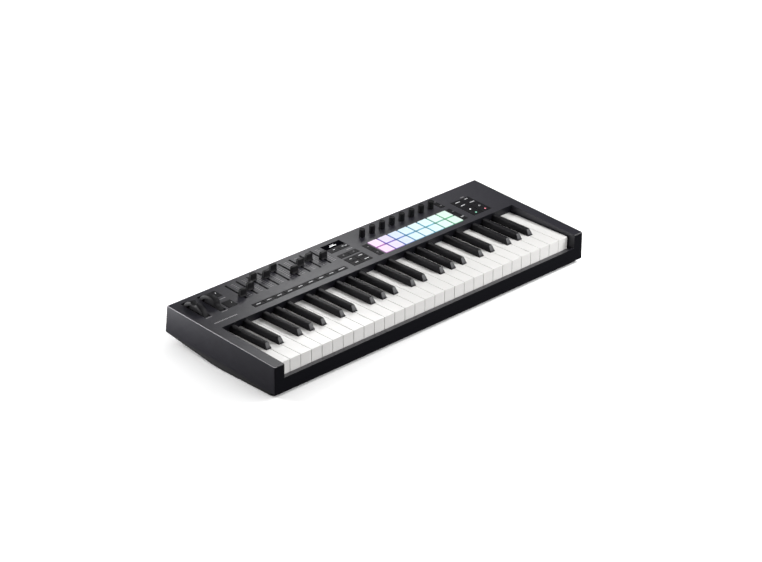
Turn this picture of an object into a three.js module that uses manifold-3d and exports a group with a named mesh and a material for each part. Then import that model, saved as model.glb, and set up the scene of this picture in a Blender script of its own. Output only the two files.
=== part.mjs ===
// A 49-key controller keyboard: wedge-shaped two-part case, 29 naturals, 20 sharps on four octave combs,
// two wheels, nine faders, eight endless encoders, a sixteen-pad mat and four button mats.
// Millimetres. +X to the player's right, +Y to the back, +Z up. Origin: centre of the footprint, on the desk.
import * as THREE from 'three';
import { mergeVertices } from 'three/addons/utils/BufferGeometryUtils.js';
import Module from 'manifold-3d';

const wasm = await Module();
wasm.setup();

// ---- driving dimensions -------------------------------------------------------------------------
const WIDTH = 727;
const LENGTH = 264;                // of the top face, front to back
const BACK_LEAN = 6;               // how much further back the back wall's lower edge is
const DEPTH = LENGTH + BACK_LEAN;
const FOOT_HEIGHT = 1.5;
const TOP_FRONT = 58.1;            // panel plane above the desk, at the front edge
const TOP_BACK = 71.5;             // and at the back edge
const SKIRT = 50.05;               // height of the upper shell's side, front and back alike
const WALL = 2.5;
const GAP = 0.3;                   // between pieces that touch on the real object
const FRONT_CORNER_R = 1.5;
const BACK_CORNER_R = 1.2;

const PITCH = 23.5;                // natural to natural
const NATURALS = 29;
const KEY_GAP = 0.9;
const KEY_TOP = 51.9;
const KEY_FRONT_INSET = 14.6;      // from the case's front face to the naturals' fronts
const KEY_REAR = 45;
const KEY_PIVOT_Y = 42;
const KEY_DEPTH_FRONT = 16;
const KEY_DEPTH_REAR = 9.9;
const KEY_LIP = 26;                // height of the naturals' lower front edge
const KEY_SKIN = 1.8;
const KEY_CEILING = 2;
const KEY_SOLID = 12;              // solid stretch over the pivot
const KEY_LIP_THICK = 2;
const OPENING_HALF = 342.6;        // half the width of the key opening
const PANEL_DEPTH = 112.35;        // from the case's back to the panel's front edge
const WALL_UNDER = 53.6;           // lower edge of the wall behind the keys

const SHARP_FRONT = 201;           // from the back to the sharps' lower front edge
const SHARP_BASE = 11;
const SHARP_CREST = 8.2;
const SHARP_HEIGHT = 10.6;
const SHARP_LEAN = 5.8;            // how far the front facet leans back
const SHARP_SIDE_GAP = 0.7;
const SHARP_STEM = 8;
const SHARP_STEM_LIFT = 1.3;       // the stems' underside above the naturals' pivot rib: room to press
const SHARP_STEM_DROP = 2;         // the stems' upper side below the naturals' tops
// how far C sharp, D sharp, F sharp, G sharp and A sharp sit off their naturals' boundaries
const SHARP_OFFSETS = { 1: -2, 2: 2, 4: -3, 5: 0, 6: 3 };
const COMB_BAR = [47, 54];         // front and back of the bar that joins an octave's sharps
const OCTAVES = 4;

const LEDGE_FRONT = 32.7;
const LEDGE_REAR = 30.2;
const LEDGE_DEPTH = 12.3;
const LEDGE_LIP = 20;

const TRAY_SIDE_INSET = WALL + GAP;
const TRAY_FRONT_INSET = 7.2;
const TRAY_RISE_FROM = 12;         // y where the underside's flat ends and its rise to the back begins
const TRAY_RISE_R = 270;
const TRAY_RISE_SLOPE = Math.atan(0.1425);
const TRAY_OVERLAP = 5;            // how far the tray's wall stands up inside the shell
const FRONT_TRAY_R = 8;

const COLUMN = 24;                 // pitch of the faders, encoders and pads
const FADER_X = -245.5;
const FADER_SLOT = [11, 65];
const FADER_SLOT_WIDTH = 3;
const FADER_AT = [54.6, 45.7, 25.8, 32.5, 22.6, 50.5, 38.3, 33.8, 44.8];
const CAP = { width: 13.4, base: 8.8, waist: 6.2, top: 6.4, height: 14, waistHeight: 5.1, lift: 0.8,
  skirt: 1.5, round: 1, stem: 5, stemWidth: 1.2, drop: 9 };

const ENCODER_X = 53;
const ENCODER_BACK = 29.5;
const ENCODERS = 8;
const KNOB = { r: 5.5, rTop: 5.3, height: 15, round: 0.6, lift: 0.6, shaft: 3, drop: 8, segments: 14 };
const KNOB_HOLE_R = 3.4;

const PAD_X = 55;
const PAD_BACKS = [62.8, 88.2];
const PAD = [21.2, 22.2];
const PAD_PROUD = 1;
const PAD_RIM = 0.6;               // clearance between the pads and their opening
const PAD_COLUMNS = 8;

const WHEEL_R = 29.5;
const WHEEL_WIDTH = 11;
const WHEEL_BACK = 41;
const WHEEL_DROP = 15;             // wheel centre below the panel plane
const WHEEL_SLOT = [13.2, 61];
const WHEEL_SEGMENTS = 40;
const PITCH_WHEEL_X = -336;
const MOD_WHEEL_X = -302;
const MOD_REST = THREE.MathUtils.degToRad(43);   // the finger notch rests towards the player
const NOTCH_R = 8.5;
const NOTCH_DEPTH = 4.2;
const AXLE_R = 3;
const AXLE_HALF = 10;
const LUG = { thick: 2.4, width: 12, clearance: 1.2, below: 5 };

const BUTTON_GAP = 0.7;
const BUTTON_PROUD = 0.5;
const MAT_GAP = 0.3;               // mat web below the panel's underside
const MAT_WEB = 1.2;
const MAT_RIM = 0.8;
// tiles of buttons: [left x, right x, back, front, columns, rows], as distances from the panel's back edge
const TILES = {
  row_buttons: [[-255.5, -43.5, 86.7, 98.3, 9, 1]],
  screen_buttons: [
    [-30.2, 14.2, 28.6, 41.3, 2, 1],
    [-30.2, 14.2, 53.2, 66, 2, 1],
    [-30.2, 14.2, 69.8, 98.8, 2, 2],
    [28.6, 41.2, 53.2, 98.6, 1, 2],
  ],
  transport_buttons: [
    [235.8, 246.8, 51, 98.4, 1, 2],
    [235.8, 246.8, 9.6, 41.3, 1, 2],
    [261.5, 306.3, 38, 98.5, 2, 4],
  ],
  wheel_buttons: [
    [-290.5, -269.5, 11.3, 32.6, 1, 1],
    [-290.5, -269.5, 50.2, 71.6, 1, 1],
  ],
};
const SCREEN = [-30.2, 14.2, 12, 28];
const SCREEN_POCKET = 1.2;

const SOCKETS = {                  // openings in the back wall: x, height over its lower edge, sizes
  lock: { x: -338, up: 22, size: [7, 3] },
  usb: { x: 330, up: 22, size: [9.4, 3.6] },
  midi: { x: 262, up: 24, r: 7.8 },
  pedal: { x: 296, up: 24, r: 4.6 },
};
const FEET = { r: 9, x: [-320, 0, 320], y: [-111, -3], segments: 20 };
const SCREWS = { r: 3.6, depth: 1.3, x: [-255, -85, 85, 255], y: [-99, 27, 105], segments: 14 };

const FRAME = { half: 340.5, front: -115, step: 27, rear: 55, plate: 24, shelf: 38.5, thick: 2.5,
  post: [6, 8, 39], stepLift: 3 };  // stepLift is the gap between the step and the tray
const FRAME_POST_Y = -99;
const RIB_WIDTH = 3;

// ---- derived places -----------------------------------------------------------------------------
const FRONT = -DEPTH / 2;
const BACK = FRONT + LENGTH;       // the panel's back edge
const HEEL = DEPTH / 2;            // the back wall's lower edge
const SLOPE = (TOP_BACK - TOP_FRONT) / LENGTH;
const TILT = Math.atan(SLOPE);
const KEY_FRONT = FRONT + KEY_FRONT_INSET;
const PANEL_FRONT = BACK - PANEL_DEPTH;
const LEDGE_BACK = FRONT + LEDGE_DEPTH;
const FAR = 200;                   // past any piece, for cutters

const panelHeight = (y) => TOP_FRONT + SLOPE * (y - FRONT);
const skirtHeight = (y) => panelHeight(y) - SKIRT;
const leanAt = (z) => (BACK_LEAN * (TOP_BACK - z)) / (TOP_BACK - skirtHeight(HEEL));
const keyEdge = (n) => (n - NATURALS / 2) * PITCH;
const panelMatrix = new THREE.Matrix4().makeRotationX(TILT).setPosition(0, BACK, TOP_BACK);

const COLOURS = { shell: 0x3b3b3f, tray: 0x151517, frame: 0x2a2a2c, natural: 0xebe9e8, sharp: 0x1e1e22,
  cap: 0x1b1b1d, pad: 0xd8e8f0, button: 0x2d2c30 };

function material(color, roughness = 0.55) {
  return new THREE.MeshStandardMaterial({ color, roughness, metalness: 0 });
}

// ---- solids -------------------------------------------------------------------------------------
function solid(geometry, matrix) {
  const plain = geometry.clone();
  if (matrix) plain.applyMatrix4(matrix);
  plain.deleteAttribute('normal');
  plain.deleteAttribute('uv');
  const merged = mergeVertices(plain, 1e-4);
  const mesh = new wasm.Mesh({ numProp: 3, vertProperties: merged.attributes.position.array,
    triVerts: Uint32Array.from(merged.index.array) });
  return new wasm.Manifold(mesh);
}

function toGeometry(manifold) {
  const mesh = manifold.getMesh();
  const geometry = new THREE.BufferGeometry();
  geometry.setAttribute('position', new THREE.BufferAttribute(new Float32Array(mesh.vertProperties), 3));
  geometry.setIndex(Array.from(mesh.triVerts));
  return geometry;
}

const join = (solids) => solids.reduce((all, next) => all.add(next));
const cut = (body, tools) => tools.reduce((left, tool) => left.subtract(tool), body);

function box([x0, x1], [y0, y1], [z0, z1], matrix) {
  const place = new THREE.Matrix4().makeTranslation((x0 + x1) / 2, (y0 + y1) / 2, (z0 + z1) / 2);
  if (matrix) place.premultiply(matrix);
  return solid(new THREE.BoxGeometry(x1 - x0, y1 - y0, z1 - z0), place);
}

// a prism along X: points are [y, z], from x0 to x1
function sidePrism(points, x0, x1) {
  const shape = new THREE.Shape(points.map(([y, z]) => new THREE.Vector2(y, z)));
  const geometry = new THREE.ExtrudeGeometry(shape, { depth: x1 - x0, bevelEnabled: false });
  const place = new THREE.Matrix4().makeBasis(new THREE.Vector3(0, 1, 0), new THREE.Vector3(0, 0, 1),
    new THREE.Vector3(1, 0, 0)).setPosition(x0, 0, 0);
  return solid(geometry, place);
}

// an upright prism whose outline, seen from above, is a rectangle with round corners; back is its place at
// the panel's height, from where it leans out towards the desk
function planPrism(halfWidth, front, back, frontR, backR, z0, z1) {
  const shape = new THREE.Shape();
  shape.moveTo(-halfWidth + frontR, front);
  shape.lineTo(halfWidth - frontR, front);
  shape.absarc(halfWidth - frontR, front + frontR, frontR, -Math.PI / 2, 0, false);
  shape.lineTo(halfWidth, back - backR);
  shape.absarc(halfWidth - backR, back - backR, backR, 0, Math.PI / 2, false);
  shape.lineTo(-halfWidth + backR, back);
  shape.absarc(-halfWidth + backR, back - backR, backR, Math.PI / 2, Math.PI, false);
  shape.lineTo(-halfWidth, front + frontR);
  shape.absarc(-halfWidth + frontR, front + frontR, frontR, Math.PI, Math.PI * 1.5, false);
  const geometry = new THREE.ExtrudeGeometry(shape,
    { depth: z1 - z0, bevelEnabled: false, curveSegments: 4 });
  geometry.translate(0, 0, z0);
  const points = geometry.attributes.position;
  for (let i = 0; i < points.count; i += 1) {
    if (points.getY(i) > 0) points.setY(i, points.getY(i) + leanAt(points.getZ(i)));
  }
  return solid(geometry);
}

function cylinder(r, along, [x, y, z], length, segments = 16, matrix) {
  const geometry = new THREE.CylinderGeometry(r, r, length, segments);
  const turn = { x: [0, 0, Math.PI / 2], y: [0, 0, 0], z: [Math.PI / 2, 0, 0] }[along];
  const place = new THREE.Matrix4().makeRotationFromEuler(new THREE.Euler(...turn)).setPosition(x, y, z);
  if (matrix) place.premultiply(matrix);
  return solid(geometry, place);
}

// a box given on the panel plane: x range, distance from the back edge, height above the panel
const panelBox = (xs, [back, front], zs) => box(xs, [-front, -back], zs, panelMatrix);

// ---- case ---------------------------------------------------------------------------------------
function wheelCentre(x) {
  return new THREE.Vector3(x, -WHEEL_BACK, -WHEEL_DROP).applyMatrix4(panelMatrix);
}

function wheelLugs(x) {
  const c = wheelCentre(x);
  const reach = WHEEL_WIDTH / 2 + LUG.clearance;
  return [-1, 1].map((side) => {
    const inner = x + side * reach;
    const outer = inner + side * LUG.thick;
    const lug = box([Math.min(inner, outer), Math.max(inner, outer)],
      [c.y - LUG.width / 2, c.y + LUG.width / 2], [c.z - LUG.below, panelHeight(c.y) - WALL / 2]);
    return lug.subtract(cylinder(AXLE_R + GAP, 'x', [inner, c.y, c.z], LUG.thick * 4));
  });
}

function panelCutters() {
  const through = [-WALL * 2, WALL * 2];
  const cutters = [];
  for (const tiles of Object.values(TILES)) {
    for (const [x0, x1, back, front] of tiles) cutters.push(panelBox([x0, x1], [back, front], through));
  }
  FADER_AT.forEach((_, i) => {
    const x = FADER_X + COLUMN * i;
    cutters.push(panelBox([x - FADER_SLOT_WIDTH / 2, x + FADER_SLOT_WIDTH / 2], FADER_SLOT, through));
  });
  for (let i = 0; i < ENCODERS; i += 1) {
    const at = [ENCODER_X + COLUMN * i, -ENCODER_BACK, 0];
    cutters.push(cylinder(KNOB_HOLE_R, 'z', at, WALL * 4, KNOB.segments, panelMatrix));
  }
  const padLeft = PAD_X - PAD[0] / 2 - PAD_RIM;
  const padRight = PAD_X + COLUMN * (PAD_COLUMNS - 1) + PAD[0] / 2 + PAD_RIM;
  const padReach = PAD[1] / 2 + PAD_RIM;
  cutters.push(panelBox([padLeft, padRight], [PAD_BACKS[0] - padReach, PAD_BACKS[1] + padReach], through));
  for (const x of [PITCH_WHEEL_X, MOD_WHEEL_X]) {
    cutters.push(panelBox([x - WHEEL_SLOT[0] / 2, x + WHEEL_SLOT[0] / 2],
      [WHEEL_BACK - WHEEL_SLOT[1] / 2, WHEEL_BACK + WHEEL_SLOT[1] / 2], through));
  }
  cutters.push(panelBox(SCREEN.slice(0, 2), SCREEN.slice(2), [-SCREEN_POCKET, WALL]));
  return cutters;
}

function socketCutters() {
  return Object.values(SOCKETS).map(({ x, up, size, r }) => {
    const z = skirtHeight(BACK) + up;
    const wall = BACK + leanAt(z);
    if (r) return cylinder(r, 'y', [x, wall, z], WALL * 4, 20);
    const [w, h] = size;
    return box([x - w / 2, x + w / 2], [wall - WALL * 2, wall + WALL], [z - h / 2, z + h / 2]);
  });
}

function upperCase() {
  const plan = planPrism(WIDTH / 2, FRONT, BACK, FRONT_CORNER_R, BACK_CORNER_R, -1, TOP_BACK + 5);
  const sides = sidePrism([[FRONT - 1, skirtHeight(FRONT - 1)], [HEEL + 1, skirtHeight(HEEL + 1)],
    [HEEL + 1, panelHeight(HEEL + 1)], [FRONT - 1, panelHeight(FRONT - 1)]], -FAR * 2, FAR * 2);
  const outer = plan.intersect(sides);
  const inFront = FRONT + WALL;
  const inBack = (z) => BACK + leanAt(z) - WALL;
  const inSide = WIDTH / 2 - WALL;
  const roof = (y) => panelHeight(y) - WALL;
  const wallBack = PANEL_FRONT + WALL;
  const roofBack = roof(BACK - WALL);
  const ledge = (y) => LEDGE_FRONT + (LEDGE_REAR - LEDGE_FRONT) * ((y - FRONT) / LEDGE_DEPTH);
  const lipFront = LEDGE_BACK - WALL;
  const rearHollow = sidePrism([[wallBack, -1], [inBack(-1), -1], [inBack(roofBack), roofBack],
    [wallBack, roof(wallBack)]], -inSide, inSide);
  const keyWell = sidePrism([[LEDGE_BACK, -1], [wallBack + 1, -1], [wallBack + 1, WALL_UNDER],
    [PANEL_FRONT, WALL_UNDER], [PANEL_FRONT, FAR], [LEDGE_BACK, FAR]], -OPENING_HALF, OPENING_HALF);
  const overLedge = sidePrism([[FRONT - 1, ledge(FRONT - 1)], [LEDGE_BACK + 1, ledge(LEDGE_BACK + 1)],
    [LEDGE_BACK + 1, FAR], [FRONT - 1, FAR]], -OPENING_HALF, OPENING_HALF);
  const underLedge = sidePrism([[inFront, -1], [LEDGE_BACK + 1, -1], [LEDGE_BACK + 1, LEDGE_LIP],
    [lipFront, LEDGE_LIP], [lipFront, ledge(lipFront) - WALL], [inFront, ledge(inFront) - WALL]],
  -OPENING_HALF, OPENING_HALF);
  const cheekInner = OPENING_HALF + WALL;
  const cheek = (x0, x1) => sidePrism([[inFront, -1], [wallBack + 1, -1],
    [wallBack + 1, roof(wallBack + 1)], [inFront, roof(inFront)]], x0, x1);
  const trayRoom = TRAY_OVERLAP + 1;
  const roomBack = skirtHeight(BACK) + trayRoom;
  const rimRoom = sidePrism([[inFront, -1], [inBack(-1), -1], [inBack(roomBack), roomBack],
    [inFront, skirtHeight(inFront) + trayRoom]], -inSide, inSide);
  const shell = cut(outer, [rearHollow, keyWell, overLedge, underLedge, cheek(cheekInner, inSide),
    cheek(-inSide, -cheekInner), rimRoom]);
  const lugs = join([...wheelLugs(PITCH_WHEEL_X), ...wheelLugs(MOD_WHEEL_X)]);
  return cut(shell.add(lugs), [...panelCutters(), ...socketCutters()]);
}

// the tray's underside: flat, a long round, then a straight rise to the back; lift raises it for the inside
function trayUnderside(front, back, lift) {
  const run = TRAY_RISE_R * Math.sin(TRAY_RISE_SLOPE);
  const steps = 5;
  const flat = FOOT_HEIGHT + lift;
  const points = [[front, flat], [TRAY_RISE_FROM - run / 2, flat]];
  for (let i = 1; i <= steps; i += 1) {
    const angle = (TRAY_RISE_SLOPE * i) / steps;
    const along = TRAY_RISE_R * Math.sin(angle);
    points.push([TRAY_RISE_FROM - run / 2 + along, flat + TRAY_RISE_R * (1 - Math.cos(angle))]);
  }
  const [lastY, lastZ] = points[points.length - 1];
  points.push([back, lastZ + (back - lastY) * Math.tan(TRAY_RISE_SLOPE)]);
  return points;
}

const undersideAt = (y) => FOOT_HEIGHT + Math.max(0, y - TRAY_RISE_FROM) * Math.tan(TRAY_RISE_SLOPE);

function lowerCase() {
  const half = WIDTH / 2 - TRAY_SIDE_INSET;
  const front = FRONT + TRAY_FRONT_INSET;
  const back = BACK - TRAY_SIDE_INSET;
  const plan = planPrism(half, front, back, FRONT_TRAY_R, BACK_CORNER_R, -1, TOP_BACK);
  const rim = (y) => skirtHeight(y) + TRAY_OVERLAP;
  const inBack = (z) => back - WALL + leanAt(z);
  const heel = undersideAt(HEEL);
  const outside = sidePrism([...trayUnderside(front - 1, HEEL + 1, 0), [HEEL + 1, rim(HEEL + 1)],
    [front - 1, rim(front - 1)]], -half - 1, half + 1);
  const inside = sidePrism([...trayUnderside(front + WALL, inBack(heel), WALL), [inBack(FAR), FAR],
    [front + WALL, FAR]], -half + WALL, half - WALL);
  const tray = plan.intersect(outside).subtract(inside);
  const feet = FEET.x.flatMap((x) => FEET.y.map((y) => cylinder(FEET.r, 'z', [x, y, FOOT_HEIGHT / 2 + GAP],
    FOOT_HEIGHT + GAP * 2, FEET.segments)));
  const wells = SCREWS.x.flatMap((x) => SCREWS.y.map((y) => cylinder(SCREWS.r, 'z', [x, y, undersideAt(y)],
    SCREWS.depth * 2, SCREWS.segments)));
  return cut(join([tray, ...feet]), wells);
}

function keyFrame() {
  const { half, front, step, rear, plate, shelf, thick, stepLift } = FRAME;
  const deskInside = FOOT_HEIGHT + WALL + GAP;
  const rearFoot = undersideAt(rear) + WALL + GAP * 2;
  const stepFoot = deskInside + stepLift;
  const channel = sidePrism([[front, deskInside], [front + thick, deskInside],
    [front + thick, plate - thick], [step, plate - thick], [step, stepFoot], [step + thick, stepFoot],
    [step + thick, shelf - thick], [rear - thick, shelf - thick], [rear - thick, rearFoot], [rear, rearFoot],
    [rear, shelf], [step, shelf], [step, plate], [front, plate]], -half, half);
  const ribTop = KEY_TOP - KEY_DEPTH_REAR - GAP;
  const combY = (COMB_BAR[0] + COMB_BAR[1]) / 2;
  const ribs = [KEY_PIVOT_Y, combY].map((y) => box([-half, half], [y - RIB_WIDTH / 2, y + RIB_WIDTH / 2],
    [shelf - 1, ribTop]));
  const [postWidth, postDepth, postTop] = FRAME.post;
  const posts = Array.from({ length: NATURALS }, (_, n) => {
    const x = keyEdge(n) + PITCH / 2;
    return box([x - postWidth / 2, x + postWidth / 2],
      [FRAME_POST_Y - postDepth / 2, FRAME_POST_Y + postDepth / 2], [plate - 1, postTop]);
  });
  return join([channel, ...ribs, ...posts]);
}

// ---- keys ---------------------------------------------------------------------------------------
// centre of the sharp on natural n's left boundary, or null where the keyboard has none
function sharpAt(n) {
  const offset = SHARP_OFFSETS[n % 7];
  return offset === undefined || n <= 0 || n >= NATURALS ? null : keyEdge(n) + offset;
}

function natural(n) {
  const left = keyEdge(n) + KEY_GAP / 2;
  const right = keyEdge(n + 1) - KEY_GAP / 2;
  const notch = SHARP_BASE / 2 + SHARP_SIDE_GAP;
  const sharpLeft = sharpAt(n);
  const sharpRight = sharpAt(n + 1);
  const rearLeft = sharpLeft === null ? left : sharpLeft + notch;
  const rearRight = sharpRight === null ? right : sharpRight - notch;
  const notchY = BACK - SHARP_FRONT - 1;
  const roofs = [KEY_TOP - KEY_DEPTH_REAR, KEY_TOP];
  const head = box([left, right], [KEY_FRONT, notchY], [KEY_TOP - KEY_DEPTH_FRONT, KEY_TOP]);
  const tail = box([rearLeft, rearRight], [notchY - 1, KEY_REAR], roofs);
  const lip = box([left, right], [KEY_FRONT, KEY_FRONT + KEY_LIP_THICK],
    [KEY_LIP, KEY_TOP - KEY_CEILING / 2]);
  const inside = [-1, KEY_TOP - KEY_CEILING];
  const headHollow = box([left + KEY_SKIN, right - KEY_SKIN],
    [KEY_FRONT + KEY_LIP_THICK, notchY - KEY_SKIN], inside);
  const tailHollow = box([rearLeft + KEY_SKIN, rearRight - KEY_SKIN],
    [notchY - KEY_SKIN * 2, KEY_REAR - KEY_SOLID], inside);
  return cut(join([head, tail, lip]), [headHollow, tailHollow]);
}

// the wedge that leans one flank of a sharp in towards its crest, a little longer and taller than the sharp
function sharpFlank(x, side, front, rear) {
  const over = 1.2;
  const spare = 2;
  const edge = x + (side * SHARP_BASE) / 2;
  const lean = (side * (SHARP_BASE - SHARP_CREST)) / 2;
  const top = KEY_TOP + SHARP_HEIGHT * over;
  const corners = [[edge, KEY_TOP], [edge + side * spare, KEY_TOP], [edge + side * spare, top],
    [edge - lean * over, top]];
  const shape = new THREE.Shape(corners.map(([across, z]) => new THREE.Vector2(across, z)));
  const geometry = new THREE.ExtrudeGeometry(shape, { depth: rear - front + spare * 2, bevelEnabled: false });
  return solid(geometry, new THREE.Matrix4().makeRotationX(Math.PI / 2).setPosition(0, rear + spare, 0));
}

function sharpComb(octave) {
  const naturals = Array.from({ length: 7 }, (_, i) => octave * 7 + i + 1);
  const centres = naturals.map(sharpAt).filter((x) => x !== null);
  const base = KEY_TOP - KEY_DEPTH_REAR;
  const crest = KEY_TOP + SHARP_HEIGHT;
  const front = BACK - SHARP_FRONT;
  const rear = PANEL_FRONT - GAP * 3;
  const stemTop = KEY_TOP - SHARP_STEM_DROP;
  const pieces = centres.flatMap((x) => {
    const bar = sidePrism([[front, base], [rear, base], [rear, crest], [front + SHARP_LEAN, crest],
      [front, KEY_TOP]], x - SHARP_BASE / 2, x + SHARP_BASE / 2);
    const stem = box([x - SHARP_STEM / 2, x + SHARP_STEM / 2], [rear - 1, COMB_BAR[0] + 1],
      [base + SHARP_STEM_LIFT, stemTop]);
    return [cut(bar, [-1, 1].map((side) => sharpFlank(x, side, front, rear))), stem];
  });
  const ends = [centres[0] - SHARP_BASE / 2, centres[centres.length - 1] + SHARP_BASE / 2];
  return join([...pieces, box(ends, COMB_BAR, [base, stemTop])]);
}

// ---- controls -----------------------------------------------------------------------------------
function wheel() {
  const disc = cylinder(WHEEL_R, 'x', [0, 0, 0], WHEEL_WIDTH, WHEEL_SEGMENTS);
  const axle = cylinder(AXLE_R, 'x', [0, 0, 0], AXLE_HALF * 2, 12);
  const notch = cylinder(NOTCH_R, 'x', [0, 0, WHEEL_R + NOTCH_R - NOTCH_DEPTH], WHEEL_WIDTH * 2, 16);
  return cut(disc.add(axle), [notch]);
}

function faderCap() {
  const { width, base, waist, top, height, waistHeight, lift, skirt, round, stem, stemWidth, drop } = CAP;
  const half = [[base / 2, lift], [base / 2, lift + skirt], [waist / 2, waistHeight],
    [top / 2, height - round], [top / 2 - round, height]];
  const mirrored = half.map(([y, z]) => [-y, z]).reverse();
  const blade = sidePrism([...half, ...mirrored], -width / 2, width / 2);
  return blade.add(box([-stemWidth / 2, stemWidth / 2], [-stem / 2, stem / 2], [-drop, lift + skirt]));
}

function knobGeometry() {
  const { r, rTop, height, round, lift, shaft, drop, segments } = KNOB;
  const profile = [[0, -drop], [shaft, -drop], [shaft, lift], [r, lift], [rTop, height - round],
    [rTop - round, height], [0, height]];
  const points = profile.map(([across, up]) => new THREE.Vector2(across, up));
  return new THREE.LatheGeometry(points, segments).rotateX(Math.PI / 2);
}

function padMat() {
  const underside = -WALL - MAT_GAP;
  const [wide, deep] = PAD;
  const pads = PAD_BACKS.flatMap((back) => Array.from({ length: PAD_COLUMNS }, (_, i) => {
    const x = PAD_X + COLUMN * i;
    return box([x - wide / 2, x + wide / 2], [-back - deep / 2, -back + deep / 2],
      [underside - MAT_WEB / 2, PAD_PROUD]);
  }));
  const edge = PAD_RIM / 2 + MAT_RIM;
  const web = box([PAD_X - wide / 2 - edge, PAD_X + COLUMN * (PAD_COLUMNS - 1) + wide / 2 + edge],
    [-PAD_BACKS[1] - deep / 2 - edge, -PAD_BACKS[0] + deep / 2 + edge], [underside - MAT_WEB, underside]);
  return join([web, ...pads]);
}

function buttonMat(tiles) {
  const underside = -WALL - MAT_GAP;
  const caps = tiles.flatMap(([x0, x1, back, front, columns, rows]) => {
    const wide = (x1 - x0) / columns;
    const deep = (front - back) / rows;
    return Array.from({ length: columns * rows }, (_, k) => {
      const left = x0 + wide * (k % columns);
      const rear = back + deep * Math.floor(k / columns);
      return box([left + BUTTON_GAP / 2, left + wide - BUTTON_GAP / 2],
        [-rear - deep + BUTTON_GAP / 2, -rear - BUTTON_GAP / 2], [underside - MAT_WEB / 2, BUTTON_PROUD]);
    });
  });
  const low = (k) => Math.min(...tiles.map((tile) => tile[k]));
  const high = (k) => Math.max(...tiles.map((tile) => tile[k]));
  const web = box([low(0) - MAT_RIM / 2, high(1) + MAT_RIM], [-high(3) - MAT_RIM, -low(2) + MAT_RIM],
    [underside - MAT_WEB, underside]);
  return join([web, ...caps]);
}

// ---- assembly -----------------------------------------------------------------------------------
const keyboard = new THREE.Group();
const panel = new THREE.Group();
panel.position.set(0, BACK, TOP_BACK);
panel.rotation.x = TILT;
keyboard.add(panel);

function place(parent, name, geometry, look, [x, y, z] = [0, 0, 0]) {
  const mesh = new THREE.Mesh(geometry, look);
  mesh.name = name;
  mesh.position.set(x, y, z);
  parent.add(mesh);
  return mesh;
}

place(keyboard, 'upper_case', toGeometry(upperCase()), material(COLOURS.shell));
place(keyboard, 'lower_case', toGeometry(lowerCase()), material(COLOURS.tray, 0.7));
place(keyboard, 'key_frame', toGeometry(keyFrame()), material(COLOURS.frame, 0.7));

for (let n = 0; n < NATURALS; n += 1) {
  const name = `white_key_${String(n + 1).padStart(2, '0')}`;
  place(keyboard, name, toGeometry(natural(n)), material(COLOURS.natural, 0.3));
}
for (let octave = 0; octave < OCTAVES; octave += 1) {
  place(keyboard, `black_keys_${octave + 1}`, toGeometry(sharpComb(octave)), material(COLOURS.sharp, 0.5));
}

const wheelGeometry = toGeometry(wheel());
place(panel, 'pitch_wheel', wheelGeometry, material(COLOURS.cap),
  [PITCH_WHEEL_X, -WHEEL_BACK, -WHEEL_DROP]);
place(panel, 'mod_wheel', wheelGeometry, material(COLOURS.cap), [MOD_WHEEL_X, -WHEEL_BACK, -WHEEL_DROP])
  .rotation.x = MOD_REST;

const capGeometry = toGeometry(faderCap());
FADER_AT.forEach((back, i) => {
  place(panel, `fader_${i + 1}`, capGeometry, material(COLOURS.cap), [FADER_X + COLUMN * i, -back, 0]);
});
for (let i = 0; i < ENCODERS; i += 1) {
  place(panel, `encoder_${i + 1}`, knobGeometry(), material(COLOURS.cap, 0.6),
    [ENCODER_X + COLUMN * i, -ENCODER_BACK, 0]);
}
place(panel, 'pad_mat', toGeometry(padMat()), material(COLOURS.pad, 0.5));
for (const [name, tiles] of Object.entries(TILES)) {
  place(panel, name, toGeometry(buttonMat(tiles)), material(COLOURS.button, 0.5));
}

export default keyboard;
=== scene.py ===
"""A 49-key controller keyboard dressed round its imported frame: pieces, materials, light and camera.

Everything is in millimetres until a piece is finished, in one of two frames. The row frame is +X to the
player's right, +Y to the back and +Z up, on the desk. The panel frame lies on the sloping top: its origin is
the middle of the panel's back edge and its Z is the panel's normal, so a place on it is
(x, -distance from the back edge, height).
"""

import math

import bmesh
import bpy
from mathutils import Matrix, Vector


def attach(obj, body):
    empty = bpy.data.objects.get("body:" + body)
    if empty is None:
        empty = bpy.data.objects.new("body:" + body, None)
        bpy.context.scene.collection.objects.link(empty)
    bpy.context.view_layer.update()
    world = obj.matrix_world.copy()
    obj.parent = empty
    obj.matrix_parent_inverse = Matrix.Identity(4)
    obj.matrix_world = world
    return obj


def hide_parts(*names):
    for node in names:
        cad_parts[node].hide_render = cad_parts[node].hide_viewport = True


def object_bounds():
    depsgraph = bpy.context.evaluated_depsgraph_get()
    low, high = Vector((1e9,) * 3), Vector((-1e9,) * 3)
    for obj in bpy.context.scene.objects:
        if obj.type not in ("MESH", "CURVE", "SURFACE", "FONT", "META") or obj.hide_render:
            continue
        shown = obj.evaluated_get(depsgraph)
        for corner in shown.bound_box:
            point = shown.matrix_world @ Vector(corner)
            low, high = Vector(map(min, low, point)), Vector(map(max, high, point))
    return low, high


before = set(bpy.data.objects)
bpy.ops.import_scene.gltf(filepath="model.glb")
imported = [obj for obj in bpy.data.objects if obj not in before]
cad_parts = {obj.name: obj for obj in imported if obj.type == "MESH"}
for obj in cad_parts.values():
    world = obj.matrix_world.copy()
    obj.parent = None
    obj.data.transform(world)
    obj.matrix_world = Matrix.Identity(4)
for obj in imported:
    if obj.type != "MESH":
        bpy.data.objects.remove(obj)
cad_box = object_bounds()

MM = 0.001

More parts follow.
